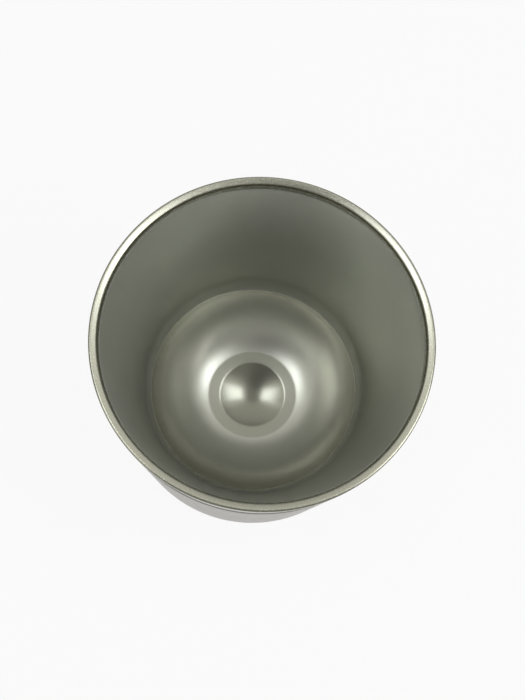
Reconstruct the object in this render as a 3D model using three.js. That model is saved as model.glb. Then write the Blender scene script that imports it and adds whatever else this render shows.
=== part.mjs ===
// An open, double-walled steel tumbler with a vacuum between its walls.
// Millimetres, +Z up. The origin is the centre of the face that it stands on.
import * as THREE from "three";

// Overall sizes
const HEIGHT = 84; // table to the top of the lip
const LIP_RADIUS = 44.5; // outside of the lip
const LIP_WIDTH = 2.4; // across the lip, seen from above
const LIP_DEPTH = 2.6; // from the top of the lip to its underside
const LIP_OUTER_BEND = 0.55; // rounding of the lip's outer shoulder
const LIP_SLOPE = 17; // slope of the lip's face down into the cup, in degrees
const LIP_ROLL_WIDTH = 0.65; // width of the roll from the lip's face to the liner
const LIP_ROLL_DROP = 1.8; // height of that roll
const LIP_STEP = 0.3; // how far the lip stands proud of the outer wall
const LINER_LEDGE = 0.06; // how far the liner stands proud of the lip, inside

// Steel sheet
const WALL_SHEET = 0.6; // inner and outer wall
const FLOOR_SHEET = 0.6; // liner floor
const BOTTOM_SHEET = 0.5; // vacuum bottom and base plate

// Liner: the wall tapers to a foot bend, and the floor dish is welded to its end
const SEAM_RADIUS = 33.6; // weld ring between wall and floor
const FOOT_BEND = 16; // radius of the bend at the wall's foot
const FOOT_END_SLOPE = 62; // slope of the bend's end above level, in degrees
const FLOOR_HEIGHT = 10.3; // inside floor at its ring crease, above the table
const FLOOR_EDGE_SLOPE = 58; // slope of the dish at the weld ring, in degrees
const RING_RADIUS = 15.05; // crease round the middle of the floor
const RING_SLOPE = 10; // slope of the dish at the crease, in degrees
const SHELF_SLOPE = 4; // slope of the narrow shelf inside the crease, in degrees
const HOLLOW_RADIUS = 11.2; // round hollow in the middle of the floor
const HOLLOW_EDGE_SLOPE = 24; // slope of the hollow at its edge, in degrees

// Outer wall and its coat
const WALL_DRAW = 1.5; // how much narrower than the lip the outer wall is at its base corner
const CORNER_RADIUS = 9; // rounded corner at the base
const FOOT_LAND = 0.6; // level rim of the outer wall, inside the corner
const COAT_THICKNESS = 0.2;
const COAT_TOP = 12; // bare steel from the top of the lip to the coat
const COAT_END_ANGLE = 60; // how far the coat goes round the base corner, in degrees

// Base plate
const PLATE_LAND = 4.6; // width of the level ring that it stands on
const PLATE_STEP = 0.8; // width of the slope up to the panel
const PLATE_RECESS = 1.6; // height of the panel above the table

// Vacuum bottom, its pump-out hole and the solder in it
const FLANGE_WIDTH = 3; // level flange that lies on the outer wall's foot
const FLANGE_OVERLAP = 2.1; // how far the flange reaches past the outer wall's edge
const BOTTOM_STEP = 1.5; // width of the slope from the flange to the panel
const BOTTOM_GAP = 1.1; // space between base plate and vacuum bottom
const SOLDER_RADIUS = 5; // pocket for the solder
const SOLDER_DEPTH = 1.2;
const SOLDER_SLOPE = 0.7; // width of the pocket's sloping side
const PUMP_HOLE_RADIUS = 1.2;

// Getter
const GETTER_OFFSET = 19; // from the cup's axis
const PELLET_RADIUS = 4.5;
const PELLET_HEIGHT = 2;
const GETTER_SHEET = 0.4;
const GETTER_RIM = 1.4; // height of the cup's rim above its floor

// Copper foil round the liner
const FOIL_THICKNESS = 0.2;
const FOIL_TOP_MARGIN = 12; // below the liner's upper edge
const FOIL_FOOT_MARGIN = 2; // above the start of the foot bend

// Gaps that separate touching pieces
const WELD_GAP = 0.1; // between edges that are welded
const SEAT_GAP = 0.12; // under a piece that rests on another
const SKIN_GAP = 0.05; // under the coat
const FOIL_GAP = 0.15; // under the foil
const PELLET_GAP = 0.15; // round the pellet and the solder

// Smoothness
const TURN_STEPS = 60; // facets round the cup
const SMALL_TURN_STEPS = 24; // facets round the small pieces
const BEND_STEPS = 6; // facets in a large bend
const LIP_STEPS = 5; // facets in each shoulder of the lip

const radians = THREE.MathUtils.degToRad;

// Points on an arc in the (radius, height) plane. Angles are measured down from level, outwards.
function bend(centre, radius, from, to, steps) {
  return Array.from({ length: steps + 1 }, (_, i) => {
    const angle = from + ((to - from) * i) / steps;
    return new THREE.Vector2(
      centre.x + radius * Math.cos(angle),
      centre.y - radius * Math.sin(angle),
    );
  });
}

// The angle, down from level, at which a line from a point above touches a bend.
function touchAngle(point, centre, radius) {
  const toPoint = point.clone().sub(centre);
  return Math.acos(radius / toPoint.length()) - toPoint.angle();
}

// A path moved sideways by a distance, to the left of its direction, with mitred corners.
function offset(path, distance) {
  return path.map((point, i) => {
    const before = path[Math.max(i - 1, 0)];
    const after = path[Math.min(i + 1, path.length - 1)];
    const back = (i > 0 ? point.clone().sub(before) : after.clone().sub(point)).normalize();
    const ahead = (i < path.length - 1 ? after.clone().sub(point) : back.clone()).normalize();
    const mean = back.clone().add(ahead).normalize();
    const reach = distance / mean.dot(back);
    return new THREE.Vector2(point.x - mean.y * reach, point.y + mean.x * reach);
  });
}

// The outline of a sheet whose one face follows a path. The other face lies to its left.
function sheet(path, thickness) {
  const farFace = offset(path, thickness);
  path.forEach((point, i) => {
    if (point.x === 0) farFace[i].x = 0;
  });
  return [...path, ...farFace.reverse()];
}

// An outline in the (radius, height) plane turned round the cup's axis. An outline that runs along
// the axis starts and ends there, and any other closes on itself.
function turned(outline, steps = TURN_STEPS) {
  const first = outline.findIndex((point, i) => point.x === 0 && outline.at(i - 1).x === 0);
  const points =
    first < 0
      ? [...outline, outline[0]]
      : [...outline.slice(first), ...outline.slice(0, first)];
  return new THREE.LatheGeometry(points, steps).rotateX(Math.PI / 2);
}

// A point in the (radius, height) plane.
function at(radius, height) {
  return new THREE.Vector2(radius, height);
}

// A steel finish. The satin of the photograph is rough enough to blur what it mirrors.
function steel(color, roughness) {
  return new THREE.MeshStandardMaterial({ color, roughness, metalness: 1 });
}

function piece(name, geometry, material) {
  const mesh = new THREE.Mesh(geometry, material);
  mesh.name = name;
  return mesh;
}

// Heights and radii that several pieces share
const lipUnderside = HEIGHT - LIP_DEPTH;
const wallTop = lipUnderside - WELD_GAP;
const lipInside = LIP_RADIUS - LIP_WIDTH;
const linerMouth = at(lipInside - LINER_LEDGE, wallTop);
const outerMouth = at(LIP_RADIUS - LIP_STEP, wallTop);

// Dish of the floor: one arc from the weld ring to the crease
const dishRadius =
  (SEAM_RADIUS - RING_RADIUS) /
  (Math.sin(radians(FLOOR_EDGE_SLOPE)) - Math.sin(radians(RING_SLOPE)));
const dishCentre = at(
  RING_RADIUS - dishRadius * Math.sin(radians(RING_SLOPE)),
  FLOOR_HEIGHT + dishRadius * Math.cos(radians(RING_SLOPE)),
);
const seamHeight = dishCentre.y - dishRadius * Math.cos(radians(FLOOR_EDGE_SLOPE));

// Foot bend of the liner wall, which ends at the weld ring
const footEnd = radians(90 - FOOT_END_SLOPE);
const footCentre = at(
  SEAM_RADIUS - FOOT_BEND * Math.cos(footEnd),
  seamHeight + FOOT_BEND * Math.sin(footEnd),
);
const footStart = touchAngle(linerMouth, footCentre, FOOT_BEND);
const footTop = bend(footCentre, FOOT_BEND, footStart, footStart, 1)[0];

// Base corner of the outer wall
const cornerCentre = at(LIP_RADIUS - WALL_DRAW - CORNER_RADIUS, CORNER_RADIUS);
const cornerStart = touchAngle(outerMouth, cornerCentre, CORNER_RADIUS);
const footEdge = cornerCentre.x - FOOT_LAND;

// Panel of the vacuum bottom
const bottomPanel = PLATE_RECESS + BOTTOM_SHEET + BOTTOM_GAP;

// Rounded lip: a tight outer shoulder, a face that slopes into the cup and a roll down to the liner
function lipRing() {
  const slope = radians(LIP_SLOPE);
  const outer = at(LIP_RADIUS - LIP_OUTER_BEND, HEIGHT - LIP_OUTER_BEND);
  const shoulder = bend(outer, LIP_OUTER_BEND, 0, -Math.PI / 2 - slope, LIP_STEPS);
  const faceAt = (radius) =>
    at(radius, shoulder.at(-1).y - (shoulder.at(-1).x - radius) * Math.tan(slope));
  const rollStart = faceAt(lipInside + LIP_ROLL_WIDTH);
  const roll = new THREE.QuadraticBezierCurve(
    rollStart,
    faceAt(lipInside),
    at(lipInside, rollStart.y - LIP_ROLL_DROP),
  );
  return turned([
    at(LIP_RADIUS, lipUnderside),
    ...shoulder,
    ...roll.getPoints(LIP_STEPS),
    at(lipInside, lipUnderside),
  ]);
}

// Liner wall, drawn from the mouth down to the weld ring. The sheet lies outside the path.
function innerWall() {
  const path = [
    linerMouth,
    ...bend(footCentre, FOOT_BEND, footStart, footEnd, BEND_STEPS),
  ];
  return turned(sheet(path, WALL_SHEET));
}

// Floor dish, from the weld ring over the crease and the shelf into the hollow
function innerFloor() {
  const shelfDrop = (RING_RADIUS - HOLLOW_RADIUS) * Math.tan(radians(SHELF_SLOPE));
  const hollowSphere = HOLLOW_RADIUS / Math.sin(radians(HOLLOW_EDGE_SLOPE));
  const hollowCentre = at(
    0,
    FLOOR_HEIGHT - shelfDrop + hollowSphere * Math.cos(radians(HOLLOW_EDGE_SLOPE)),
  );
  const weldTurn = WELD_GAP / dishRadius;
  const path = [
    ...bend(
      dishCentre,
      dishRadius,
      radians(90 - FLOOR_EDGE_SLOPE) + weldTurn,
      radians(90 - RING_SLOPE),
      BEND_STEPS,
    ),
    ...bend(
      hollowCentre,
      hollowSphere,
      radians(90 - HOLLOW_EDGE_SLOPE),
      Math.PI / 2,
      BEND_STEPS,
    ),
  ];
  path.at(-1).x = 0;
  return turned(sheet(path, FLOOR_SHEET));
}

// Copper foil on the outside of the liner's straight taper
function heatFoil() {
  const taper = footTop.clone().sub(linerMouth);
  const along = (distance) => linerMouth.clone().addScaledVector(taper, distance / taper.length());
  const line = [along(FOIL_TOP_MARGIN), along(taper.length() - FOIL_FOOT_MARGIN)];
  return turned(sheet(offset(line, WALL_SHEET + FOIL_GAP), FOIL_THICKNESS));
}

// Outer face of the outer wall down to an angle round the base corner
function outerFace(endAngle) {
  return [
    outerMouth,
    ...bend(cornerCentre, CORNER_RADIUS, cornerStart, endAngle, BEND_STEPS),
  ];
}

// Outer wall, with the base corner and the level rim. The sheet lies inside the path.
function outerWall() {
  const path = [...outerFace(Math.PI / 2), at(footEdge, 0)];
  return turned(sheet(path.reverse(), WALL_SHEET));
}

// Coat on the outer wall, from the bare band down round most of the base corner
function colourCoat() {
  const path = outerFace(radians(COAT_END_ANGLE));
  const below = (wallTop - (HEIGHT - COAT_TOP)) / (wallTop - path[1].y);
  path[0] = path[0].clone().lerp(path[1], below);
  return turned(sheet(offset(path, SKIN_GAP), COAT_THICKNESS));
}

// Base plate: a level ring on the table and a panel raised clear of it
function basePlate() {
  const edge = footEdge - WELD_GAP;
  const panelEdge = edge - PLATE_LAND - PLATE_STEP;
  const path = [
    at(edge, 0),
    at(edge - PLATE_LAND, 0),
    at(panelEdge, PLATE_RECESS),
    at(0, PLATE_RECESS),
  ].reverse();
  return turned(sheet(path, BOTTOM_SHEET));
}

// Vacuum bottom: a flange on the outer wall's foot, a raised panel and the solder pocket
function vacuumBottom() {
  const edge = footEdge + FLANGE_OVERLAP;
  const insideCorner = CORNER_RADIUS - WALL_SHEET;
  const rise = CORNER_RADIUS - Math.sqrt(insideCorner ** 2 - (edge - cornerCentre.x) ** 2);
  const flange = rise + SEAT_GAP;
  const panelEdge = edge - FLANGE_WIDTH - BOTTOM_STEP;
  const path = [
    at(edge, flange),
    at(edge - FLANGE_WIDTH, flange),
    at(panelEdge, bottomPanel),
    at(SOLDER_RADIUS + SOLDER_SLOPE, bottomPanel),
    at(SOLDER_RADIUS, bottomPanel + SOLDER_DEPTH),
    at(PUMP_HOLE_RADIUS, bottomPanel + SOLDER_DEPTH),
  ].reverse();
  return turned(sheet(path, BOTTOM_SHEET));
}

// Glass solder: a flat bead in the pocket with a stub up into the pump-out hole
function solderSeal() {
  const roof = bottomPanel + SOLDER_DEPTH - SEAT_GAP;
  const stub = PUMP_HOLE_RADIUS - PELLET_GAP;
  return turned(
    [
      at(0, bottomPanel),
      at(SOLDER_RADIUS - PELLET_GAP, bottomPanel),
      at(SOLDER_RADIUS - PELLET_GAP, roof),
      at(stub, roof),
      at(stub, roof + BOTTOM_SHEET),
      at(0, roof + BOTTOM_SHEET),
    ],
    SMALL_TURN_STEPS,
  );
}

// Getter cup: a floor and a low rim
function getterCup() {
  const inside = PELLET_RADIUS + PELLET_GAP;
  const outline = [
    at(0, 0),
    at(inside + GETTER_SHEET, 0),
    at(inside + GETTER_SHEET, GETTER_SHEET + GETTER_RIM),
    at(inside, GETTER_SHEET + GETTER_RIM),
    at(inside, GETTER_SHEET),
    at(0, GETTER_SHEET),
  ];
  return turned(outline, SMALL_TURN_STEPS);
}

function getterPellet() {
  const outline = [
    at(0, 0),
    at(PELLET_RADIUS, 0),
    at(PELLET_RADIUS, PELLET_HEIGHT),
    at(0, PELLET_HEIGHT),
  ];
  return turned(outline, SMALL_TURN_STEPS);
}

const satin = 0x8f918a;
const cup = new THREE.Group();
cup.add(
  piece("lip_ring", lipRing(), steel(0xb0b0a4, 0.25)),
  piece("inner_wall", innerWall(), steel(satin, 0.35)),
  piece("inner_floor", innerFloor(), steel(satin, 0.3)),
  piece("heat_foil", heatFoil(), steel(0xb87333, 0.3)),
  piece("outer_wall", outerWall(), steel(satin, 0.35)),
  piece(
    "colour_coat",
    colourCoat(),
    new THREE.MeshStandardMaterial({ color: 0xc4c3bf, roughness: 0.5, metalness: 0 }),
  ),
  piece("base_plate", basePlate(), steel(satin, 0.35)),
  piece("vacuum_bottom", vacuumBottom(), steel(satin, 0.4)),
  piece(
    "solder_seal",
    solderSeal(),
    new THREE.MeshStandardMaterial({ color: 0x4a4038, roughness: 0.2, metalness: 0 }),
  ),
);

// The getter stands on the vacuum bottom's panel, to one side of the axis
const getter = new THREE.Group();
getter.position.set(GETTER_OFFSET, 0, bottomPanel + BOTTOM_SHEET + SEAT_GAP);
const pellet = piece(
  "getter_pellet",
  getterPellet(),
  new THREE.MeshStandardMaterial({ color: 0x55555a, roughness: 0.8, metalness: 0.4 }),
);
pellet.position.z = GETTER_SHEET + SEAT_GAP;
getter.add(piece("getter_cup", getterCup(), steel(satin, 0.4)), pellet);
cup.add(getter);

export default cup;
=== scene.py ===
"""An open, double-walled steel tumbler, dressed and lit.

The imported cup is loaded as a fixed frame. Every piece that shows is modelled again as a smooth
sheet over its node, and the pieces inside the vacuum keep their solids and get their finishes.
"""
import logging
import math
from dataclasses import dataclass
from enum import Enum
from typing import NamedTuple

import bmesh
import bpy
from mathutils import Matrix, Vector


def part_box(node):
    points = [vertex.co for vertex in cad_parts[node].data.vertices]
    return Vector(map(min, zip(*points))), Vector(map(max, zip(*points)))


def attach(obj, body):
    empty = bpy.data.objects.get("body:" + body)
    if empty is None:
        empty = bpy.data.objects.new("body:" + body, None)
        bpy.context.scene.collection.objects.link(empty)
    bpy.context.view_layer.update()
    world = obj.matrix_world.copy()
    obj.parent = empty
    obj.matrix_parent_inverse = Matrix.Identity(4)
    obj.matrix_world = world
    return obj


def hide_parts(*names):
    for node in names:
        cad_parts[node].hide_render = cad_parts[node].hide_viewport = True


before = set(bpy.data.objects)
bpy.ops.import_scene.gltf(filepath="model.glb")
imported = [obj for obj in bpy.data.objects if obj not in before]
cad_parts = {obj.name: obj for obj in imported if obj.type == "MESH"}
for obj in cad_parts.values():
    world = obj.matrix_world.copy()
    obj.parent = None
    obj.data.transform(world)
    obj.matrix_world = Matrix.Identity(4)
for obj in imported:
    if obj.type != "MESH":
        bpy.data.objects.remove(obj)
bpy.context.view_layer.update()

MM = 0.001
BODY = "root"
log = logging.getLogger("tumbler")

# Points round a turned piece, and the edges that stay sharp on it, in degrees.
RING_POINTS = 192
SHARP_ANGLE = 50.0
# Points this close together are one point, rings this close are one ring, a station this close to a
# ring means that ring, and a ring this close to an edge's height belongs to the edge.
ONE_POINT = 0.001 * MM
ONE_RING = 0.01 * MM
RING_REACH = 0.02 * MM
EDGE_REACH = 0.2 * MM
# Noise seldom leaves this range.
NOISE_LOW = 0.3
NOISE_HIGH = 0.7
# Where the Mix node takes its two colours, and where it gives the mixed one.
MIX_COLOURS = (6, 7)
MIX_RESULT = 2
# Crease round the middle of the floor, and the round hollow inside it.
RING_RADIUS = 15.05 * MM
HOLLOW_RADIUS = 11.2 * MM
# Shares of the weld bead's width, each with the share of its height that it has there.
BEAD_RISES = ((0.0, -1.0), (0.08, 0.1), (0.17, 0.75), (0.28, 1.0), (0.45, 0.8), (0.7, 0.3))

Colour = tuple[float, float, float]
Direction = tuple[float, float, float]
Shares = tuple[float, float]
Socket = bpy.types.NodeSocket
Piece = bpy.types.Object
WHITE: Colour = (1.0, 1.0, 1.0)
COOL_WHITE: Colour = (0.95, 1.0, 1.1)
LEVEL: Direction = (1.0, 1.0, 0.0)
ABOVE = Vector((0.0, 0.0, 1.0))


class Station(NamedTuple):
    """A place on a turned outline: distance from the axis and height above the table, in metres."""

    radius: float
    height: float


class Side(Enum):
    """The side of a drawn sheet that its thickness goes to."""

    OUTSIDE = 1.0
    INSIDE = -1.0


def off(centre: Station, radius: float, angle: float) -> Station:
    """The place at a distance from a centre, at an angle down from level, in radians."""
    return Station(
        centre.radius + radius * math.cos(angle), centre.height - radius * math.sin(angle)
    )


def arc(centre: Station, radius: float, start: float, end: float, steps: int) -> list[Station]:
    """Stations along an arc.

    Args:
        centre: The arc's centre.
        radius: The arc's radius.
        start: Angle of the first station, down from level, in radians.
        end: Angle of the last station.
        steps: Number of stretches between them.

    Returns:
        The stations, first and last included.
    """
    angles = [start + (end - start) * i / steps for i in range(steps + 1)]
    return [off(centre, radius, angle) for angle in angles]


def between(start: Station, end: Station, share: float) -> Station:
    """The place that lies a share of the way from one place to another."""
    return Station(
        start.radius + (end.radius - start.radius) * share,
        start.height + (end.height - start.height) * share,
    )


def line(start: Station, end: Station, steps: int) -> list[Station]:
    """Evenly spaced stations from one place to another.

    Args:
        start: First station.
        end: Last station.
        steps: Number of stretches between them.

    Returns:
        The stations, first and last included.
    """
    return [between(start, end, i / steps) for i in range(steps + 1)]


def curve(start: Station, pull: Station, end: Station, steps: int) -> list[Station]:
    """Stations along a curve that leaves one place and reaches another by way of a corner.

    Args:
        start: First station.
        pull: The corner, which the curve's ends point to.
        end: Last station.
        steps: Number of stretches between them.

    Returns:
        The stations, first and last included.
    """
    shares = [i / steps for i in range(steps + 1)]
    return [between(between(start, pull, s), between(pull, end, s), s) for s in shares]


def touch_angle(point: Station, centre: Station, radius: float) -> float:
    """The angle, down from level, at which a line from a point above touches an arc.

    Args:
        point: Where the line starts.
        centre: The arc's centre.
        radius: The arc's radius.

    Returns:
        The angle in radians.
    """
    across = point.radius - centre.radius
    up = point.height - centre.height
    return math.acos(radius / math.hypot(across, up)) - math.atan2(up, across)


class TurnedSheet:
    """A sheet piece drawn ring by ring from a circle, then thickened and rounded."""

    def __init__(self, name: str, path: list[Station]) -> None:
        """Draw the sheet's face along a path.

        Args:
            name: Name of the piece.
            path: Stations of the face, from the first ring to the last. A last station on the axis
                closes the sheet.
        """
        first = path[0]
        bpy.ops.object.select_all(action="DESELECT")
        bpy.ops.mesh.primitive_circle_add(
            vertices=RING_POINTS,
            radius=first.radius,
            fill_type="NOTHING",
            location=(0.0, 0.0, first.height),
        )
        self.piece: Piece = bpy.context.object
        self.piece.name = name
        self.piece.data.name = name
        bpy.ops.object.transform_apply(location=True, rotation=True, scale=True)
        bpy.ops.object.mode_set(mode="EDIT")
        bpy.ops.mesh.select_mode(type="EDGE")
        bpy.ops.mesh.select_all(action="SELECT")
        for before, after in zip(path, path[1:]):
            self._draw(before, after)
        bpy.ops.mesh.select_all(action="SELECT")
        bpy.ops.mesh.remove_doubles(threshold=ONE_POINT)
        bpy.ops.mesh.normals_make_consistent(inside=False)
        bpy.ops.object.mode_set(mode="OBJECT")

    @staticmethod
    def _draw(before: Station, after: Station) -> None:
        """Extrude the selected ring to the next station.

        Args:
            before: Where the ring is.
            after: Where it goes.
        """
        rise = (0.0, 0.0, after.height - before.height)
        bpy.ops.mesh.extrude_edges_move(TRANSFORM_OT_translate={"value": rise})
        if after.radius == 0.0:
            bpy.ops.mesh.merge(type="CENTER")
            return
        growth = after.radius / before.radius
        bpy.ops.transform.resize(
            value=(growth, growth, 1.0), center_override=(0.0, 0.0, after.height)
        )

    def thicken(self, thickness: float, side: Side) -> None:
        """Give the drawn face its sheet thickness.

        Args:
            thickness: Sheet thickness in metres.
            side: Side of the face that the sheet goes to.
        """
        sheet = self.piece.modifiers.new("sheet", "SOLIDIFY")
        sheet.thickness = thickness
        sheet.offset = side.value
        sheet.use_even_offset = True
        sheet.use_quality_normals = True
        bpy.context.view_layer.objects.active = self.piece
        bpy.ops.object.modifier_apply(modifier=sheet.name)

    def round_rings(self, places: list[Station], width: float, segments: int = 4) -> None:
        """Round the edge rings that lie at given places.

        Args:
            places: A station on each ring.
            width: Width of the rounding.
            segments: Facets across it.
        """
        bpy.context.view_layer.objects.active = self.piece
        bpy.ops.object.mode_set(mode="EDIT")
        bpy.ops.mesh.select_mode(type="EDGE")
        bpy.ops.mesh.select_all(action="DESELECT")
        mesh = bmesh.from_edit_mesh(self.piece.data)
        for edge in mesh.edges:
            ends = [Station(math.hypot(v.co.x, v.co.y), v.co.z) for v in edge.verts]
            edge.select_set(any(all(math.dist(e, p) < RING_REACH for e in ends) for p in places))
        bmesh.update_edit_mesh(self.piece.data)
        bpy.ops.mesh.bevel(
            offset_type="OFFSET",
            offset=width,
            segments=segments,
            profile=0.5,
            affect="EDGES",
            clamp_overlap=True,
        )
        bpy.ops.object.mode_set(mode="OBJECT")

    def rim(self, height: float) -> list[Station]:
        """The rings of an edge of the piece.

        Args:
            height: The edge's height.

        Returns:
            One station for each ring.
        """
        found: list[Station] = []
        for vertex in self.piece.data.vertices:
            place = Station(math.hypot(vertex.co.x, vertex.co.y), vertex.co.z)
            new = all(math.dist(place, other) > ONE_RING for other in found)
            if abs(place.height - height) <= EDGE_REACH and new:
                found.append(place)
        return found

    def shade(self) -> Piece:
        """Shade smoothly over bends, keep true edges and return the finished piece."""
        bpy.ops.object.select_all(action="DESELECT")
        self.piece.select_set(True)
        bpy.context.view_layer.objects.active = self.piece
        bpy.ops.object.shade_smooth_by_angle(angle=math.radians(SHARP_ANGLE))
        return self.piece


def shade_of(colour: Colour, factor: float) -> Colour:
    """A colour made lighter or darker."""
    return tuple(min(channel * factor, 1.0) for channel in colour)


class Wiring:
    """A node tree, with short ways to add nodes and join them."""

    def __init__(self, tree: bpy.types.NodeTree) -> None:
        """Take up a node tree."""
        self.nodes = tree.nodes
        self.links = tree.links

    def add(self, kind: str, **inputs: object) -> bpy.types.Node:
        """Add a node and fill its inputs.

        Args:
            kind: Blender's name for the node.
            **inputs: Socket names with a value, or with the output socket that feeds them.

        Returns:
            The new node.
        """
        node = self.nodes.new(kind)
        self.fill(node, **inputs)
        return node

    def fill(self, node: bpy.types.Node, **inputs: object) -> None:
        """Fill inputs of a node, by name, each with a value or an output socket."""
        for name, value in inputs.items():
            self.feed(value, node.inputs[name.replace("_", " ")])

    def feed(self, value: object, socket: Socket) -> None:
        """Set a socket to a number, a vector or a colour, or link it to an output."""
        if isinstance(value, Socket):
            self.links.new(value, socket)
        else:
            socket.default_value = value

    def place(self) -> Socket:
        """Places in the piece's own frame, in metres, or directions in the world."""
        return self.nodes.new("ShaderNodeTexCoord").outputs["Object"]

    def maths(self, operation: str, first: object, second: object) -> Socket:
        """Join two numbers.

        Args:
            operation: Blender's name for the operation.
            first: A number or an output socket.
            second: A number or an output socket.

        Returns:
            The result's socket.
        """
        node = self.nodes.new("ShaderNodeMath")
        node.operation = operation
        self.feed(first, node.inputs[0])
        self.feed(second, node.inputs[1])
        return node.outputs[0]

    def vectors(
        self, operation: str, first: object, second: object = None, answer: str = "Vector"
    ) -> Socket:
        """Join two vectors.

        Args:
            operation: Blender's name for the operation.
            first: A vector or an output socket.
            second: A vector or an output socket, if the operation has one.
            answer: Name of the output that holds the result.

        Returns:
            The result's socket.
        """
        node = self.nodes.new("ShaderNodeVectorMath")
        node.operation = operation
        self.feed(first, node.inputs[0])
        if second is not None:
            self.feed(second, node.inputs[1])
        return node.outputs[answer]

    def ramp(
        self, value: object, start: float, end: float, low: float = 0.0, high: float = 1.0
    ) -> Socket:
        """A soft step.

        Args:
            value: A value socket.
            start: Value at which the step starts.
            end: Value at which it is done.
            low: Result before the step.
            high: Result after it.

        Returns:
            The step's socket.
        """
        node = self.add(
            "ShaderNodeMapRange", Value=value, From_Min=start, From_Max=end, To_Min=low, To_Max=high
        )
        node.interpolation_type = "SMOOTHSTEP"
        return node.outputs["Result"]


class Board(Wiring):
    """The node tree of one finish."""

    def __init__(self, name: str) -> None:
        """Start a material of a given name."""
        self.material: bpy.types.Material = bpy.data.materials.new(name)
        self.material.use_nodes = True
        super().__init__(self.material.node_tree)
        self.shader: bpy.types.Node = self.nodes["Principled BSDF"]

    def level(self) -> Socket:
        """Places with their height taken out."""
        return self.vectors("MULTIPLY", self.place(), LEVEL)

    def radius(self) -> Socket:
        """Distances from the cup's axis, in metres."""
        return self.vectors("LENGTH", self.level(), answer="Value")

    def height(self) -> Socket:
        """Heights above the table, in metres."""
        return self.add("ShaderNodeSeparateXYZ", Vector=self.place()).outputs["Z"]

    def streaks(self, length: float, width: float, detail: float = 2.0) -> Socket:
        """Noise drawn out round the axis.

        Args:
            length: Length of a mark, in radians.
            width: Width of a mark in metres.
            detail: Number of finer layers.

        Returns:
            The noise's socket.
        """
        heading = self.vectors("NORMALIZE", self.level())
        along = self.maths("DIVIDE", self.maths("ADD", self.radius(), self.height()), width)
        upright = self.add("ShaderNodeCombineXYZ", Z=along).outputs["Vector"]
        turned = self.vectors("MULTIPLY", heading, (1 / length, 1 / length, 0.0))
        return self.noise(self.vectors("ADD", turned, upright), detail)

    def spots(self, size: float, detail: float = 2.0) -> Socket:
        """Noise whose marks have one size every way, in metres, and some finer layers."""
        return self.noise(self.vectors("MULTIPLY", self.place(), (1 / size,) * 3), detail)

    def noise(self, space: Socket, detail: float) -> Socket:
        """Noise with one mark for each unit of a pattern space, and some finer layers."""
        return self.add("ShaderNodeTexNoise", Vector=space, Scale=1.0, Detail=detail).outputs[0]

    def around(self, noise: object, mean: float, reach: float) -> Socket:
        """Noise spread to both sides of a mean.

        Args:
            noise: A noise socket.
            mean: Middle of the result.
            reach: How far the result goes below and above it.

        Returns:
            The result's socket.
        """
        node = self.add("ShaderNodeMapRange", Value=noise, From_Min=NOISE_LOW, From_Max=NOISE_HIGH)
        self.fill(node, To_Min=mean - reach, To_Max=mean + reach)
        return node.outputs["Result"]

    def blend(self, amount: object, first: object, second: object) -> Socket:
        """Mix two colours.

        Args:
            amount: 0 for the first colour, 1 for the second.
            first: A colour or an output socket.
            second: A colour or an output socket.

        Returns:
            The colour's socket.
        """
        node = self.nodes.new("ShaderNodeMix")
        node.data_type = "RGBA"
        self.feed(amount, node.inputs[0])
        for colour, index in zip((first, second), MIX_COLOURS):
            full = (*colour, 1.0) if isinstance(colour, tuple) else colour
            self.feed(full, node.inputs[index])
        return node.outputs[MIX_RESULT]

    def mottle(self, noise: object, tint: Colour, shares: Shares) -> Socket:
        """A colour that noise changes from its darkest to its lightest share."""
        dark, light = (shade_of(tint, share) for share in shares)
        return self.blend(self.around(noise, 0.5, 0.5), dark, light)

    def relief(self, height: object, depth: float, face: Socket | None = None) -> None:
        """Give the surface a fine relief.

        Args:
            height: Socket from 0, low, to 1, high.
            depth: Height of the relief in metres.
            face: The way that the surface faces, if it isn't the piece's own.
        """
        bump = self.add("ShaderNodeBump", Height=height, Distance=depth, Strength=1.0)
        if face is not None:
            self.links.new(face, bump.inputs["Normal"])
        self.links.new(bump.outputs["Normal"], self.shader.inputs["Normal"])

    def set(self, **values: object) -> None:
        """Fill sockets of the shader, by name, each with a value or an output socket."""
        self.fill(self.shader, **values)


@dataclass(frozen=True)
class Finish:
    """What every finish has.

    Attributes:
        name: Name of the material.
        tint: Its colour.
        roughness: Its mean roughness.
    """

    name: str
    tint: Colour
    roughness: float


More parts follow.
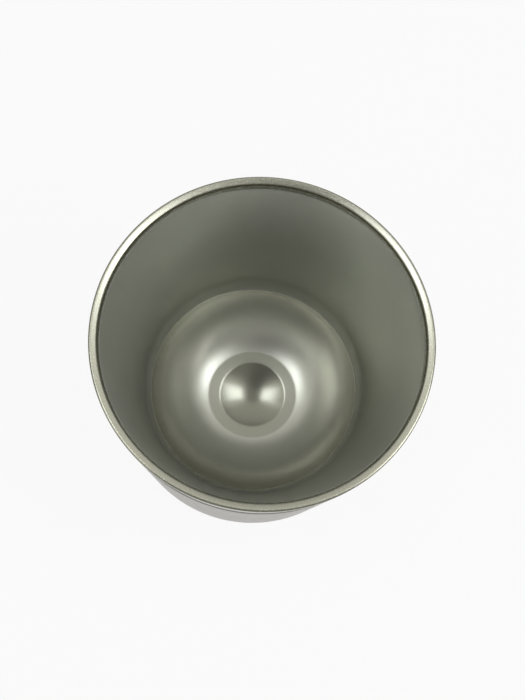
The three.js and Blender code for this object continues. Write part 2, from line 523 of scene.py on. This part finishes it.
@dataclass(frozen=True)
class SatinSteel(Finish):
    """Bare stainless steel with a satin grind.

    Attributes:
        uneven: How far the roughness wanders from its mean.
        grain_width: Width of the grind's marks.
        grain_length: Length of a mark round the axis, in radians.
        grain_depth: Depth of the marks.
        cloud: Size of the cloudy patches that wiping leaves.
        cloud_shares: Darkest and lightest share of the tint in the patches.
        metallic: Below 1 where the grind scatters some of the light every way.
        press_and_shade_radius: Inside this radius the press has left the steel smoother, and its
            colour is painted darker as painted shade in the hollow.
        hollow_shade_tint: Darker colour of the metal there, a painted shade.
        pressed_share: Roughness there, against the ground steel.
        pressed_lean: How far the pressed steel leans, and which way.
        ring_radius: Up to this radius the ground steel is painted darker, as painted shade on the
            shelf inside the crease.
        shelf_shade_tint: That painted shade colour.
        tint_fade: Half width of the change from one colour to the next.
    """

    uneven: float = 0.012
    grain_width: float = 0.35 * MM
    grain_length: float = 0.187
    grain_depth: float = 0.0003 * MM
    cloud: float = 14 * MM
    cloud_shares: Shares = (0.97, 1.02)
    metallic: float = 1.0
    press_and_shade_radius: float = 0.0
    hollow_shade_tint: Colour = (0.37, 0.37, 0.292)
    pressed_share: float = 0.74
    pressed_lean: Direction = (0.0126, -0.0617, 0.0)
    ring_radius: float = 0.0
    shelf_shade_tint: Colour = (0.45, 0.45, 0.36)
    tint_fade: float = 0.4 * MM

    def material(self) -> bpy.types.Material:
        """Make the finish."""
        board = Board(self.name)
        grind = board.streaks(self.grain_length, self.grain_width, detail=3.0)
        clouds = board.spots(self.cloud)
        fine = board.around(grind, 0.0, self.uneven / 2)
        wander = board.maths("ADD", fine, board.around(clouds, 0.0, self.uneven))
        ground = board.mottle(clouds, self.tint, self.cloud_shares)
        board.set(
            Metallic=self.metallic,
            Base_Color=ground,
            Roughness=board.maths("ADD", wander, self.roughness),
        )
        face = self._press_and_shade(board, ground, wander) if self.press_and_shade_radius > 0.0 else None
        board.relief(grind, self.grain_depth, face=face)
        return board.material

    def _press_and_shade(self, board: Board, ground: Socket, wander: Socket) -> Socket:
        """Paint shade into the hollow and onto the shelf, and smooth and lean the steel inside the
        pressed radius.

        Args:
            board: The finish's node tree.
            ground: Colour of the ground steel.
            wander: How far the roughness wanders from its mean.

        Returns:
            The way that the steel faces.
        """
        radius = board.radius()
        fade = self.tint_fade
        outside = board.ramp(radius, self.press_and_shade_radius - fade, self.press_and_shade_radius + fade)
        past_ring = board.ramp(radius, self.ring_radius - fade, self.ring_radius + fade)
        # Painted shade: the hollow and the shelf inside the crease get darker colours than the
        # dish.
        middle = board.blend(outside, self.hollow_shade_tint, self.shelf_shade_tint)
        shaded_tone = board.blend(past_ring, middle, ground)
        smooth = self.roughness * self.pressed_share
        rise = board.maths("MULTIPLY", outside, self.roughness - smooth)
        board.set(
            Base_Color=shaded_tone,
            Roughness=board.maths("ADD", wander, board.maths("ADD", rise, smooth)),
        )
        inside = board.maths("SUBTRACT", 1.0, outside)
        lean = board.vectors("MULTIPLY", inside, self.pressed_lean)
        facing = board.nodes.new("ShaderNodeNewGeometry").outputs["Normal"]
        return board.vectors("NORMALIZE", board.vectors("ADD", facing, lean))


@dataclass(frozen=True)
class GroundLip(Finish):
    """Ground steel of the lip, with a streaky grain, and painted shade where it rolls down into the
    liner and on its outer shoulder.

    Attributes:
        uneven: How far the roughness wanders from its mean.
        speck_shares: Darkest and lightest share of the tint in the specks.
        grain: Width of a streak.
        grain_length: Length of a streak round the axis, in radians.
        grain_depth: Depth of the grain.
        shade_share: Brightness of the painted shade, against the ground steel.
        shade_start: Depth below the crown at which the painted shade starts inside the cup.
        shade_end: Depth at which it ends.
        shade_fade: Depth over which it starts and ends.
        outer_shade_fade: Depth below the crown over which the outer shoulder is painted dark, as
            painted shade.
        wall_tint: Colour of the metal below the painted shade, inside the cup.
    """

    uneven: float = 0.05
    speck_shares: Shares = (0.94, 1.04)
    grain: float = 0.2 * MM
    grain_length: float = 0.03
    grain_depth: float = 0.0006 * MM
    shade_share: float = 0.42
    shade_start: float = 0.42 * MM
    shade_end: float = 1.9 * MM
    shade_fade: float = 0.35 * MM
    outer_shade_fade: float = 0.16 * MM
    wall_tint: Colour = (0.6, 0.61, 0.57)

    def material(self, crown: Station) -> bpy.types.Material:
        """Make the finish.

        Args:
            crown: The lip's highest place, which parts its inner side from its outer side.

        Returns:
            The finish.
        """
        board = Board(self.name)
        streaks = board.streaks(self.grain_length, self.grain)
        specks = board.spots(self.grain, detail=1.0)
        ground = board.mottle(specks, self.tint, self.speck_shares)
        low = crown.height - self.shade_end
        above = board.ramp(board.height(), low, low + self.shade_fade)
        steel = board.blend(above, self.wall_tint, ground)
        # Painted shade: a darker copy of the lip's tint on its inner roll and outer shoulder.
        shade_colour = shade_of(self.tint, self.shade_share)
        board.set(
            Metallic=1.0,
            Base_Color=board.blend(self._painted_shade(board, crown), steel, shade_colour),
            Roughness=board.around(streaks, self.roughness, self.uneven),
        )
        board.relief(streaks, self.grain_depth)
        return board.material

    def _painted_shade(self, board: Board, crown: Station) -> Socket:
        """Where shade is painted on the lip: the roll down into the liner, and the outer shoulder.

        Args:
            board: The finish's node tree.
            crown: The lip's highest place.

        Returns:
            A value socket, 1 where shade is painted.
        """
        radius = board.radius()
        depth = board.maths("SUBTRACT", crown.height, board.height())
        start = board.ramp(depth, self.shade_start, self.shade_start + self.shade_fade)
        end = board.ramp(depth, self.shade_end, self.shade_end - self.shade_fade)
        inside = board.maths("LESS_THAN", radius, crown.radius)
        inner = board.maths("MULTIPLY", board.maths("MULTIPLY", start, end), inside)
        outer = board.ramp(depth, 0.0, self.outer_shade_fade)
        outer = board.maths("MULTIPLY", outer, board.maths("GREATER_THAN", radius, crown.radius))
        return board.maths("ADD", inner, outer)


@dataclass(frozen=True)
class PowderCoat(Finish):
    """Baked powder coat with a fine pebbled skin.

    Attributes:
        uneven: How far the roughness wanders from its mean.
        pebble: Size of a pebble.
        pebble_depth: Height of a pebble.
        cloud: Size of the cloudy patches.
        cloud_shares: Darkest and lightest share of the tint in the patches.
    """

    uneven: float = 0.065
    pebble: float = 0.45 * MM
    pebble_depth: float = 0.02 * MM
    cloud: float = 18 * MM
    cloud_shares: Shares = (0.97, 1.02)

    def material(self) -> bpy.types.Material:
        """Make the finish."""
        board = Board(self.name)
        pebbles = board.spots(self.pebble, detail=1.5)
        clouds = board.spots(self.cloud)
        board.set(
            Base_Color=board.mottle(clouds, self.tint, self.cloud_shares),
            Roughness=board.around(pebbles, self.roughness, self.uneven),
        )
        board.relief(pebbles, self.pebble_depth)
        return board.material


@dataclass(frozen=True)
class DullMetal(Finish):
    """Plain metal or fused glass inside the vacuum, with a grain.

    Attributes:
        metallic: 1 for bare metal, 0 for glass.
        grain: Size of the grain.
        grain_depth: Depth of the grain.
        grain_shares: Darkest and lightest share of the tint in the grain.
        uneven: How far the roughness wanders from its mean.
    """

    metallic: float
    grain: float = 0.6 * MM
    grain_depth: float = 0.03 * MM
    grain_shares: Shares = (0.85, 1.1)
    uneven: float = 0.08

    def material(self) -> bpy.types.Material:
        """Make the finish."""
        board = Board(self.name)
        grain = board.spots(self.grain, detail=3.0)
        board.set(
            Metallic=self.metallic,
            Base_Color=board.mottle(grain, self.tint, self.grain_shares),
            Roughness=board.around(grain, self.roughness, self.uneven),
        )
        board.relief(grain, self.grain_depth)
        return board.material


LIP_STEEL = GroundLip("lip_steel", tint=(0.70, 0.69, 0.55), roughness=0.24)
LINER_STEEL = SatinSteel(
    "liner_steel",
    tint=(0.635, 0.645, 0.606),
    roughness=0.29,
    metallic=0.85,
    uneven=0.002,
    grain_depth=0.00008 * MM,
)
FLOOR_STEEL = SatinSteel(
    "floor_steel",
    tint=(0.645, 0.645, 0.546),
    roughness=0.26,
    metallic=0.9,
    press_and_shade_radius=HOLLOW_RADIUS,
    ring_radius=RING_RADIUS,
    uneven=0.001,
    grain_depth=0.00004 * MM,
)
SHELL_STEEL = SatinSteel("shell_steel", tint=(0.58, 0.575, 0.55), roughness=0.33)
PALE_COAT = PowderCoat("pale_coat", tint=(0.625, 0.605, 0.565), roughness=0.515)
COPPER_FOIL = DullMetal(
    "copper_foil", tint=(0.72, 0.42, 0.25), roughness=0.26, metallic=1.0, grain=2.5 * MM
)
SOLDER_GLASS = DullMetal("solder_glass", tint=(0.08, 0.07, 0.06), roughness=0.22, metallic=0.0)
GETTER_METAL = DullMetal("getter_metal", tint=(0.12, 0.12, 0.13), roughness=0.62, metallic=1.0)


def settle(piece: Piece, node: str, material: bpy.types.Material) -> None:
    """Dress a finished piece and let it stand for its node.

    Args:
        piece: The finished piece.
        node: The node that it stands for.
        material: Its finish.
    """
    piece.data.materials.clear()
    piece.data.materials.append(material)
    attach(piece, BODY)
    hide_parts(node)
    log.info("%s stands for %s, %d faces", piece.name, node, len(piece.data.polygons))


@dataclass
class Lip:
    """The welded lip that joins the two walls.

    Attributes:
        outside: Outside radius.
        top: Height of its outer shoulder.
        underside: Height of its lower edge.
        width: Width across, seen from above.
        outer_bend: Rounding of the outer shoulder.
        face_slope: Slope of its face down into the cup, in degrees.
        roll_width: Width of the roll from the face to the liner.
        roll_drop: Height of that roll.
    """

    outside: float
    top: float
    underside: float
    width: float = 2.4 * MM
    outer_bend: float = 0.55 * MM
    face_slope: float = 17.0
    roll_width: float = 0.65 * MM
    roll_drop: float = 1.8 * MM

    @classmethod
    def from_frame(cls) -> "Lip":
        """The lip at the size of its node."""
        low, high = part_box("lip_ring")
        return cls(outside=high.x, top=high.z, underside=low.z)

    @property
    def inside(self) -> float:
        """Inside radius."""
        return self.outside - self.width

    @property
    def shoulder(self) -> list[Station]:
        """Stations round the outer shoulder, from the outside to the face."""
        centre = Station(self.outside - self.outer_bend, self.top - self.outer_bend)
        end = -math.pi / 2 - math.radians(self.face_slope)
        return arc(centre, self.outer_bend, 0.0, end, steps=14)

    def face(self, radius: float) -> Station:
        """A place on the sloping face, or on its line drawn further.

        Args:
            radius: Radius of the place.

        Returns:
            The place.
        """
        start = self.shoulder[-1]
        drop = (start.radius - radius) * math.tan(math.radians(self.face_slope))
        return Station(radius, start.height - drop)

    def build(self) -> None:
        """Draw the section's outline as rings, close it and dress it."""
        roll_start = self.face(self.inside + self.roll_width)
        roll_end = Station(self.inside, roll_start.height - self.roll_drop)
        outer_foot = Station(self.outside, self.underside)
        inner_foot = Station(self.inside, self.underside)
        path = [outer_foot, *self.shoulder]
        path += line(self.shoulder[-1], roll_start, steps=3)[1:-1]
        path += curve(roll_start, self.face(self.inside), roll_end, steps=14)
        path += [inner_foot, outer_foot]
        lip = TurnedSheet("rounded_lip", path)
        finish = LIP_STEEL.material(Station(self.outside - self.outer_bend, self.top))
        settle(lip.shade(), "lip_ring", finish)


@dataclass
class Liner:
    """The liner: a tapered wall with a foot bend, and the dished floor welded into it.

    Slopes are in degrees.

    Attributes:
        mouth: Inside of the wall under the lip.
        sheet: Sheet thickness of wall and floor.
        edge_round: Rounding of the wall's upper edge, which shows as a fine ledge.
        seam_radius: Weld ring between wall and floor.
        bead_rise: How far the weld bead stands proud.
        bead_width: Width of the weld bead.
        foot_bend: Radius of the bend at the wall's foot.
        foot_end_slope: Slope of the bend's end above level.
        floor_height: Floor at its ring crease.
        floor_edge_slope: Slope of the dish at the weld ring.
        ring_radius: Crease round the middle of the floor.
        ring_slope: Slope of the dish at the crease.
        shelf_slope: Slope of the narrow shelf inside the crease.
        hollow_radius: Round hollow in the middle.
        hollow_edge_slope: Slope of the hollow at its edge.
        hollow_middle: Radius of the hollow's rounded middle.
        hollow_middle_slope: Slope at the rim of that middle.
        crease_round: Rounding of the creases.
    """

    mouth: Station
    sheet: float = 0.6 * MM
    edge_round: float = 0.04 * MM
    seam_radius: float = 33.6 * MM
    bead_rise: float = 0.02 * MM
    bead_width: float = 1.6 * MM
    foot_bend: float = 16 * MM
    foot_end_slope: float = 62.0
    floor_height: float = 10.3 * MM
    floor_edge_slope: float = 58.0
    ring_radius: float = RING_RADIUS
    ring_slope: float = 10.0
    shelf_slope: float = 6.0
    hollow_radius: float = HOLLOW_RADIUS
    hollow_edge_slope: float = 16.5
    hollow_middle: float = 4.8 * MM
    hollow_middle_slope: float = 10.0
    crease_round: float = 0.35 * MM

    @classmethod
    def from_frame(cls, lip: Lip, ledge: float = 0.06 * MM) -> "Liner":
        """The liner at the size of its nodes, with a ledge inside the lip that it is welded to."""
        _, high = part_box("inner_wall")
        return cls(mouth=Station(lip.inside - ledge, high.z))

    @property
    def dish_radius(self) -> float:
        """Radius of the dish's arc."""
        edge = math.sin(math.radians(self.floor_edge_slope))
        crease = math.sin(math.radians(self.ring_slope))
        return (self.seam_radius - self.ring_radius) / (edge - crease)

    @property
    def dish_centre(self) -> Station:
        """Centre of the dish's arc."""
        crease = Station(self.ring_radius, self.floor_height)
        return off(crease, -self.dish_radius, math.radians(90 - self.ring_slope))

    @property
    def seam_height(self) -> float:
        """Height of the weld ring."""
        drop = self.dish_radius * math.cos(math.radians(self.floor_edge_slope))
        return self.dish_centre.height - drop

    def build(self) -> None:
        """Draw the wall and the floor and dress them."""
        settle(self._wall(), "inner_wall", LINER_STEEL.material())
        settle(self._floor(), "inner_floor", FLOOR_STEEL.material())

    def _wall(self) -> Piece:
        """Draw the wall from the mouth down round the foot bend to the weld ring."""
        end = math.radians(90 - self.foot_end_slope)
        centre = off(Station(self.seam_radius, self.seam_height), -self.foot_bend, end)
        start = touch_angle(self.mouth, centre, self.foot_bend)
        bend = arc(centre, self.foot_bend, start, end, steps=30)
        path = line(self.mouth, bend[0], steps=26)[:-1] + bend
        wall = TurnedSheet("liner_wall", path)
        wall.thicken(self.sheet, Side.OUTSIDE)
        wall.round_rings(wall.rim(self.mouth.height), self.edge_round)
        return wall.shade()

    def _floor(self) -> Piece:
        """Draw the floor from its welded edge over the crease and the shelf into the hollow."""
        edge = math.radians(90 - self.floor_edge_slope)
        crease = math.radians(90 - self.ring_slope)
        shelf = self.ring_radius - self.hollow_radius
        shelf_drop = shelf * math.tan(math.radians(self.shelf_slope))
        hollow_edge = Station(self.hollow_radius, self.floor_height - shelf_drop)
        past_bead = edge + self.bead_width / self.dish_radius
        dish = self._bead() + arc(self.dish_centre, self.dish_radius, past_bead, crease, steps=44)
        hollow = self._hollow(hollow_edge)
        path = dish[:-1] + line(dish[-1], hollow_edge, steps=6)[:-1] + hollow[:-1]
        path.append(Station(0.0, hollow[-1].height))
        floor = TurnedSheet("liner_floor", path)
        floor.round_rings([dish[-1], hollow_edge], self.crease_round)
        floor.thicken(self.sheet, Side.OUTSIDE)
        return floor.shade()

    def _hollow(self, edge: Station) -> list[Station]:
        """The hollow's side and its rounded middle, from its edge to the axis.

        Args:
            edge: Its edge.

        Returns:
            The stations.
        """
        outer = math.radians(self.hollow_edge_slope)
        inner = math.radians(self.hollow_middle_slope)
        side = (edge.radius - self.hollow_middle) / (math.sin(outer) - math.sin(inner))
        start = math.pi / 2 - outer
        rim = math.pi / 2 - inner
        stations = arc(off(edge, -side, start), side, start, rim, steps=12)
        middle = self.hollow_middle / math.sin(inner)
        middle_centre = Station(0.0, stations[-1].height + middle * math.cos(inner))
        return stations + arc(middle_centre, middle, rim, math.pi / 2, steps=14)[1:]

    def _bead(self) -> list[Station]:
        """The low weld bead along the dish's edge, from below the wall's face to the dish."""
        edge = math.radians(90 - self.floor_edge_slope)
        stations = []
        for share, rise in BEAD_RISES:
            angle = edge + share * self.bead_width / self.dish_radius
            radius = self.dish_radius - rise * self.bead_rise
            stations.append(off(self.dish_centre, radius, angle))
        return stations


@dataclass
class Shell:
    """The outer wall, its coat and the plate that closes its foot.

    Attributes:
        mouth: Outside of the wall under the lip.
        foot_radius: Outside of the wall at its base corner, if the corner were square.
        plate_edge: Radius of the base plate.
        coat_top: Height of the coat's upper edge.
        wall_sheet: Sheet thickness of the wall.
        plate_sheet: Sheet thickness of the plate.
        corner: Radius of the base corner.
        land: Level rim of the wall inside the corner.
        coat: Thickness of the coat.
        coat_round: Rounding of the coat's upper edge.
        coat_gap: Gap under the coat.
        coat_end: How far the coat goes round the corner, in degrees.
        plate_land: Width of the level ring that the cup stands on.
        plate_step: Width of the slope up to the plate's panel.
        plate_recess: Height of the panel above the table.
        plate_round: Rounding of the plate's bends.
        plate_middle: Radius of the last ring before the plate's middle.
    """

    mouth: Station
    foot_radius: float
    plate_edge: float
    coat_top: float
    wall_sheet: float = 0.6 * MM
    plate_sheet: float = 0.5 * MM
    corner: float = 9 * MM
    land: float = 0.6 * MM
    coat: float = 0.2 * MM
    coat_round: float = 0.08 * MM
    coat_gap: float = 0.05 * MM
    coat_end: float = 60.0
    plate_land: float = 4.6 * MM
    plate_step: float = 0.8 * MM
    plate_recess: float = 1.6 * MM
    plate_round: float = 0.3 * MM
    plate_middle: float = 2 * MM

    @classmethod
    def from_frame(cls, lip: Lip, draw: float = 1.5 * MM) -> "Shell":
        """The shell under a lip.

        Args:
            lip: The lip that it is welded to.
            draw: How much narrower than the lip the wall is at its base corner.

        Returns:
            The shell at the size of its nodes.
        """
        _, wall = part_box("outer_wall")
        _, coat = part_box("colour_coat")
        _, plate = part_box("base_plate")
        return cls(
            mouth=Station(wall.x, wall.z),
            foot_radius=lip.outside - draw,
            plate_edge=plate.x,
            coat_top=coat.z,
        )

    @property
    def corner_centre(self) -> Station:
        """Centre of the base corner's bend."""
        return Station(self.foot_radius - self.corner, self.corner)

    @property
    def corner_start(self) -> float:
        """Where the straight wall runs into the corner, as an angle down from level."""
        return touch_angle(self.mouth, self.corner_centre, self.corner)

    def build(self) -> None:
        """Draw the wall, the coat and the plate and dress them."""
        steel = SHELL_STEEL.material()
        settle(self._wall(), "outer_wall", steel)
        settle(self._coat(), "colour_coat", PALE_COAT.material())
        settle(self._plate(), "base_plate", steel)

    def _wall(self) -> Piece:
        """Draw the wall's outer face down round the corner to its level rim."""
        bend = arc(self.corner_centre, self.corner, self.corner_start, math.pi / 2, steps=24)
        path = line(self.mouth, bend[0], steps=20)[:-1] + bend
        path.append(Station(self.corner_centre.radius - self.land, 0.0))
        wall = TurnedSheet("shell_wall", path)
        wall.thicken(self.wall_sheet, Side.INSIDE)
        return wall.shade()

    def _coat(self) -> Piece:
        """Draw the coat from its masked upper edge down most of the corner."""
        out = self.coat_gap
        end = math.radians(self.coat_end)
        bend = arc(self.corner_centre, self.corner + out, self.corner_start, end, steps=20)
        slope = (self.mouth.radius + out - bend[0].radius) / (self.mouth.height - bend[0].height)
        top = Station(bend[0].radius + slope * (self.coat_top - bend[0].height), self.coat_top)
        coat = TurnedSheet("coat_skin", line(top, bend[0], steps=20)[:-1] + bend)
        coat.thicken(self.coat, Side.OUTSIDE)
        coat.round_rings(coat.rim(top.height), self.coat_round, segments=3)
        return coat.shade()

    def _plate(self) -> Piece:
        """Draw the plate from its welded edge over the ring that it stands on to its panel."""
        land_end = Station(self.plate_edge - self.plate_land, 0.0)
        panel = Station(land_end.radius - self.plate_step, self.plate_recess)
        path = line(Station(self.plate_edge, 0.0), land_end, steps=3)
        path += line(land_end, panel, steps=2)[1:]
        path += line(panel, Station(self.plate_middle, self.plate_recess), steps=12)[1:]
        path.append(Station(0.0, self.plate_recess))
        plate = TurnedSheet("foot_plate", path)
        plate.round_rings([land_end, panel], self.plate_round, segments=3)
        plate.thicken(self.plate_sheet, Side.INSIDE)
        return plate.shade()


class VacuumSpace:
    """The pieces between the walls, which keep their solids."""

    def build(self) -> None:
        """Dress the solids."""
        steel = SHELL_STEEL.material()
        finishes = {
            "heat_foil": COPPER_FOIL.material(),
            "vacuum_bottom": steel,
            "solder_seal": SOLDER_GLASS.material(),
            "getter_cup": steel,
            "getter_pellet": GETTER_METAL.material(),
        }
        for node, material in finishes.items():
            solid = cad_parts[node]
            solid.data.materials.clear()
            solid.data.materials.append(material)
            log.info("%s keeps its solid", node)


@dataclass(frozen=True)
class SoftLamp:
    """A soft lamp that faces the cup.

    Attributes:
        name: Name of the lamp.
        bearing: From the picture's right towards its top, in degrees.
        lean: Angle from straight above the cup, in degrees.
        width: Size across its bearing, in metres.
        length: Size along its lean, in metres.
        brightness: How bright its face is, where 1 is white.
        distance: From the cup, in metres.
        mirrored: Whether the steel mirrors it.
        tint: Colour of its light.
    """

    name: str
    bearing: float
    lean: float
    width: float
    length: float
    brightness: float
    distance: float = 0.9
    mirrored: bool = True
    tint: Colour = WHITE

    @property
    def power(self) -> float:
        """Power in watts."""
        return self.brightness * math.pi * self.width * self.length


# Name, bearing, lean, width, length and brightness of each lamp.
MAIN_LAMPS = (
    SoftLamp("east_lamp", 5.0, 22.5, 0.25, 0.21, 2.7, tint=COOL_WHITE),
    SoftLamp("east_halo", 4.0, 28.0, 0.5, 0.56, 0.4),
    SoftLamp("west_lamp", 166.0, 17.0, 0.25, 0.19, 2.6, tint=COOL_WHITE),
    SoftLamp("west_halo", 170.0, 26.0, 0.46, 0.5, 0.35),
    SoftLamp("east_side_lamp", -22.0, 51.0, 0.56, 0.34, 2.3),
    SoftLamp("west_side_lamp", 205.0, 56.0, 0.5, 0.36, 0.9),
    SoftLamp("north_sheet", 92.0, 24.0, 0.9, 0.3, 0.3),
)
FILL_LAMPS = tuple(
    SoftLamp(f"{side}_fill", bearing, 78.0, 1.2, 0.5, 0.5, mirrored=False)
    for side, bearing in (("east", 0.0), ("north", 90.0), ("west", 180.0), ("south", 270.0))
)


class Compass(NamedTuple):
    """The picture's right and its up, level."""

    right: Vector
    up: Vector

    def towards(self, bearing: float, lean: float) -> Vector:
        """The way from the cup to a place round it.

        Args:
            bearing: From the picture's right towards its top, in degrees.
            lean: Angle from straight above, in degrees.

        Returns:
            The direction.
        """
        turn = math.radians(bearing)
        level = self.right * math.cos(turn) + self.up * math.sin(turn)
        return level * math.sin(math.radians(lean)) + ABOVE * math.cos(math.radians(lean))


@dataclass
class Studio:
    """Camera, lamps, world and floor. Angles are in degrees.

    Attributes:
        aim_height: Height of the lip's middle, which the camera was fitted to.
        distance: From the lip's middle to the camera.
        tilt: Camera's angle from straight above.
        roll: Turn of the picture.
        pan: Aim to the side of the lip's middle.
        pitch: Aim above or below it.
        focal_pixels: Focal length in pixels of the picture.
        picture_height: Height of the picture in pixels.
        world: Brightness of the surroundings.
        dark_bearing: Direction of the dark camera stand, as a lamp's bearing.
        dark_lean: Its angle from straight above.
        dark_core: Half width of the stand.
        dark_edge: Half width at which the surroundings are bright again.
        dark_share: Brightness of the stand, against the surroundings.
        low_start: Angle from straight above at which the surroundings start to darken.
        low_end: Angle at which they are darkest.
        low_share: Brightness there, against straight above.
        floor_size: Length and width of the floor.
        floor_tint: Colour of the floor.
        floor_roughness: Roughness of the floor.
        floor_glow: How much of what is seen of the floor is plain white.
    """

    aim_height: float
    distance: float = 205.3 * MM
    tilt: float = 16.351
    roll: float = -11.148
    pan: float = -0.108
    pitch: float = -1.003
    focal_pixels: float = 800.0
    picture_height: float = 700.0
    world: Colour = (0.33, 0.33, 0.33)
    dark_bearing: float = 242.0
    dark_lean: float = 17.0
    dark_core: float = 5.0
    dark_edge: float = 18.0
    dark_share: float = 0.5
    low_start: float = 36.0
    low_end: float = 62.0
    low_share: float = 0.55
    floor_size: float = 6.0
    floor_tint: Colour = (0.9, 0.9, 0.9)
    floor_roughness: float = 0.9
    floor_glow: float = 0.9

    def build(self) -> None:
        """Set up the camera, the lamps, the world and the floor."""
        axes = self._camera()
        up = Vector((axes[1].x, axes[1].y, 0.0)).normalized()
        compass = Compass(right=Vector((up.y, -up.x, 0.0)), up=up)
        for lamp in MAIN_LAMPS + FILL_LAMPS:
            self._lamp(lamp, compass)
        self._world(compass)
        self._floor()
        bpy.context.scene.view_settings.view_transform = "Standard"

    def _camera(self) -> Matrix:
        """Place the camera.

        Returns:
            Its right, up and forward directions, as rows.
        """
        tilt = math.radians(self.tilt)
        eye = Vector((0.0, -math.sin(tilt), math.cos(tilt))) * self.distance
        ahead = -eye.normalized()
        right = Vector((1.0, 0.0, 0.0))
        turn = (
            Matrix.Rotation(math.radians(self.roll), 3, "Z")
            @ Matrix.Rotation(math.radians(self.pan), 3, "Y")
            @ Matrix.Rotation(math.radians(self.pitch), 3, "X")
        )
        axes = turn @ Matrix((right, right.cross(ahead), ahead))
        data = bpy.data.cameras.new("photo_view")
        data.lens = self.focal_pixels * data.sensor_width / self.picture_height
        camera = bpy.data.objects.new("photo_view", data)
        bpy.context.scene.collection.objects.link(camera)
        facing = Matrix((axes[0], axes[1], -axes[2])).transposed().to_4x4()
        place = eye + Vector((0.0, 0.0, self.aim_height))
        camera.matrix_world = Matrix.Translation(place) @ facing
        bpy.context.scene.camera = camera
        return axes

    def _lamp(self, lamp: SoftLamp, compass: Compass) -> None:
        """Hang one lamp, facing the cup.

        Args:
            lamp: The lamp.
            compass: The picture's directions.
        """
        data = bpy.data.lights.new(lamp.name, "AREA")
        data.shape = "RECTANGLE"
        data.size = lamp.width
        data.size_y = lamp.length
        data.energy = lamp.power
        data.color = lamp.tint
        light = bpy.data.objects.new(lamp.name, data)
        bpy.context.scene.collection.objects.link(light)
        back = compass.towards(lamp.bearing, lamp.lean)
        across = ABOVE.cross(back).normalized()
        facing = Matrix((across, back.cross(across), back)).transposed().to_4x4()
        place = back * lamp.distance + ABOVE * self.aim_height / 2
        light.matrix_world = Matrix.Translation(place) @ facing
        light.visible_glossy = lamp.mirrored

    def _world(self, compass: Compass) -> None:
        """Fill the surroundings with a soft grey, darker low down and where the camera stands.

        Args:
            compass: The picture's directions.
        """
        world = bpy.data.worlds.new("soft_grey")
        world.use_nodes = True
        tree = Wiring(world.node_tree)
        way = compass.towards(self.dark_bearing, self.dark_lean)
        stand = tree.vectors("DOT_PRODUCT", tree.place(), way, answer="Value")
        rise = tree.vectors("DOT_PRODUCT", tree.place(), ABOVE, answer="Value")
        angles = (self.dark_edge, self.dark_core, self.low_end, self.low_start)
        dark_edge, dark_core, low_end, low_start = (math.cos(math.radians(a)) for a in angles)
        dark = tree.ramp(stand, dark_edge, dark_core, low=1.0, high=self.dark_share)
        low = tree.ramp(rise, low_end, low_start, low=self.low_share, high=1.0)
        background = tree.nodes["Background"]
        background.inputs["Color"].default_value = (*self.world, 1.0)
        tree.feed(tree.maths("MULTIPLY", dark, low), background.inputs["Strength"])
        bpy.context.scene.world = world

    def _floor(self) -> None:
        """Lay a pale floor that looks white and keeps the cup's shadow."""
        bpy.ops.mesh.primitive_plane_add(size=self.floor_size)
        floor = bpy.context.object
        floor.name = "studio_floor"
        board = Board("white_floor")
        board.set(Base_Color=(*self.floor_tint, 1.0), Roughness=self.floor_roughness)
        rays = board.nodes.new("ShaderNodeLightPath").outputs
        seen = board.maths("MAXIMUM", rays["Is Camera Ray"], rays["Is Glossy Ray"])
        seen = board.maths("MAXIMUM", seen, rays["Is Transmission Ray"])
        glow = board.add("ShaderNodeEmission", Strength=1.0)
        mix = board.nodes.new("ShaderNodeMixShader")
        share = board.maths("MULTIPLY", seen, self.floor_glow)
        for source, socket in zip((share, board.shader.outputs[0], glow.outputs[0]), mix.inputs):
            board.links.new(source, socket)
        board.links.new(mix.outputs[0], board.nodes["Material Output"].inputs["Surface"])
        floor.data.materials.append(board.material)


def main() -> None:
    """Build the cup's sub-assemblies in order, then the studio."""
    logging.basicConfig(level=logging.INFO, format="%(message)s")
    lip = Lip.from_frame()
    lip.build()
    Liner.from_frame(lip).build()
    Shell.from_frame(lip).build()
    VacuumSpace().build()
    Studio(aim_height=lip.top - lip.width / 2).build()


if __name__ == "__main__":
    main()
